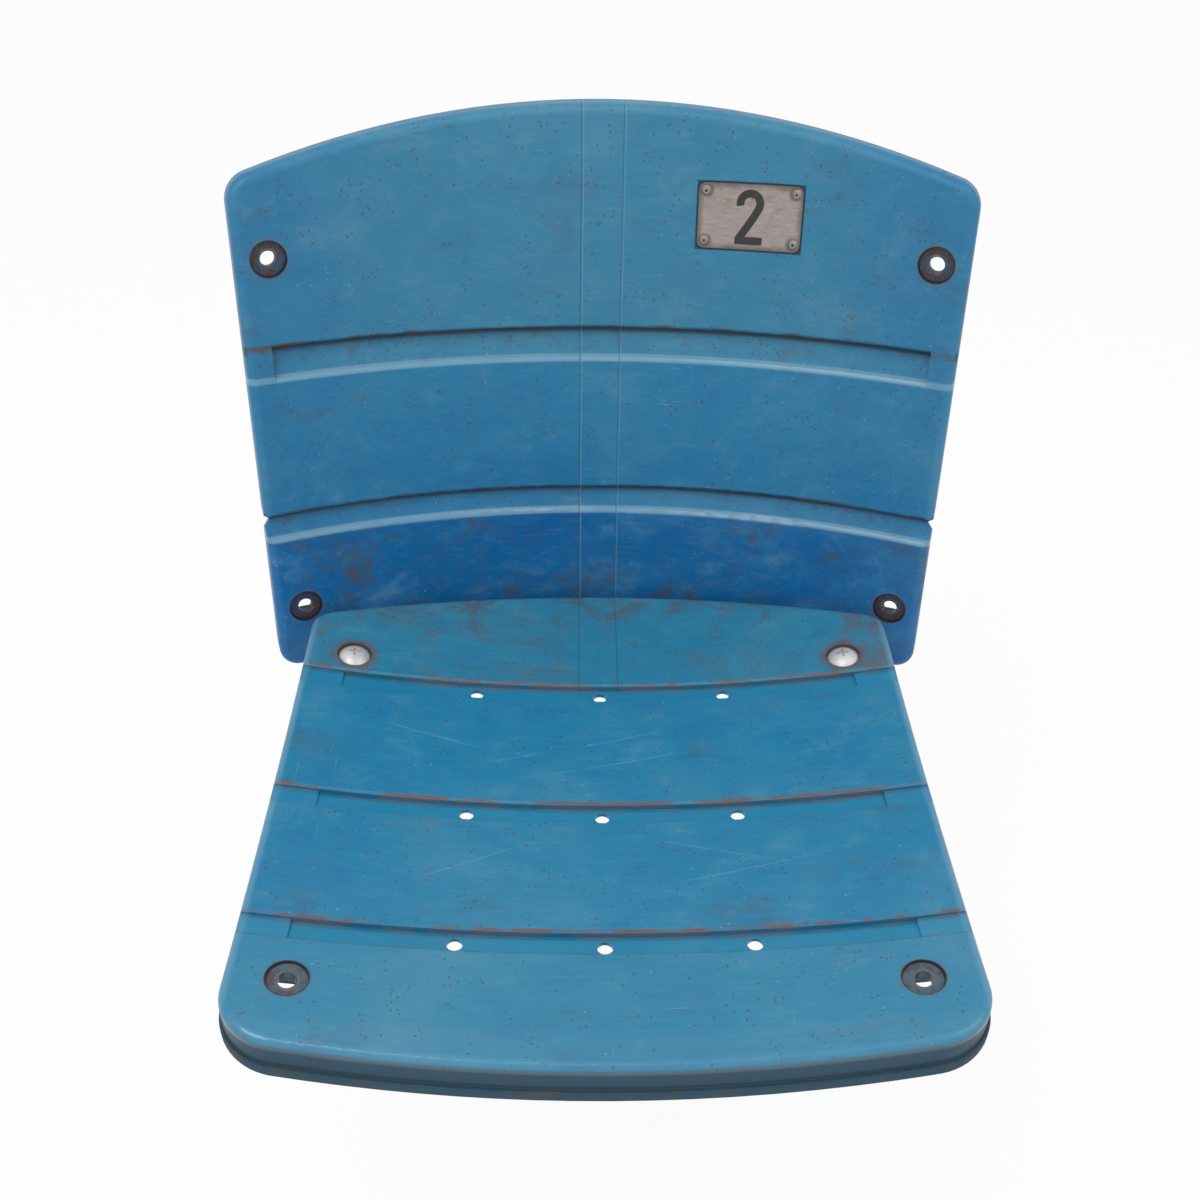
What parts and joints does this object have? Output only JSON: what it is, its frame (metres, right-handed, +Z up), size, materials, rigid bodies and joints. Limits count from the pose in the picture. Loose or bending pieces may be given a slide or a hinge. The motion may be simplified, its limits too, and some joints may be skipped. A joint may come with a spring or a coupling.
{
  "type": "tip-up stadium seat",
  "caption": "Tip-up stadium seat: slatted blow-moulded plastic seat and wrapped back on steel hinge brackets, with a riveted number plate.",
  "frame": {"origin": "midway between the two lower bolt holes of the back, on the back's front face", "axes": "+X to the right as seen from the front, +Y to the rear, +Z up"},
  "size_m": [0.4938, 0.5029, 0.4538],
  "materials": {
    "panel_plastic": "faded blue blow-moulded polyethylene, scuffed and dirty",
    "plate_metal": "brushed, dull, stained at its edges",
    "rivet_metal": "dull",
    "black_steel": "black powder coat, satin",
    "zinc_steel": "zinc plated, dull",
    "screw_plated": "bright zinc plated",
    "bush_bronze": "sintered bronze",
    "stop_rubber": "matt"
  },
  "bodies": {
    "back": {"back_panel": "panel_plastic", "number_plate": "plate_metal", "plate_rivets": "rivet_metal", "hinge_bracket_right": "black_steel", "hinge_bracket_left": "black_steel", "bracket_screws": "zinc_steel", "bracket_washers": "zinc_steel", "bracket_nuts": "zinc_steel", "pivot_bush_right": "bush_bronze", "pivot_bush_left": "bush_bronze", "stop_pins": "zinc_steel", "stop_rubber_right": "stop_rubber", "stop_rubber_left": "stop_rubber"},
    "seat": {"seat_panel": "panel_plastic", "seat_screws": "screw_plated", "spacer_sleeves": "zinc_steel", "seat_washers": "zinc_steel", "seat_nuts": "zinc_steel", "seat_arm_right": "black_steel", "seat_arm_left": "black_steel", "pivot_pin_right": "zinc_steel", "pivot_pin_left": "zinc_steel", "pivot_washers": "zinc_steel", "pivot_clips": "zinc_steel"}
  },
  "joints": [
    {"name": "seat_tip", "type": "hinge", "parent": "back", "child": "seat", "pos_m": [0, -0.0425, -0.0275], "axis": [-1, 0, 0], "range_deg": [0, 78]}
  ]
}
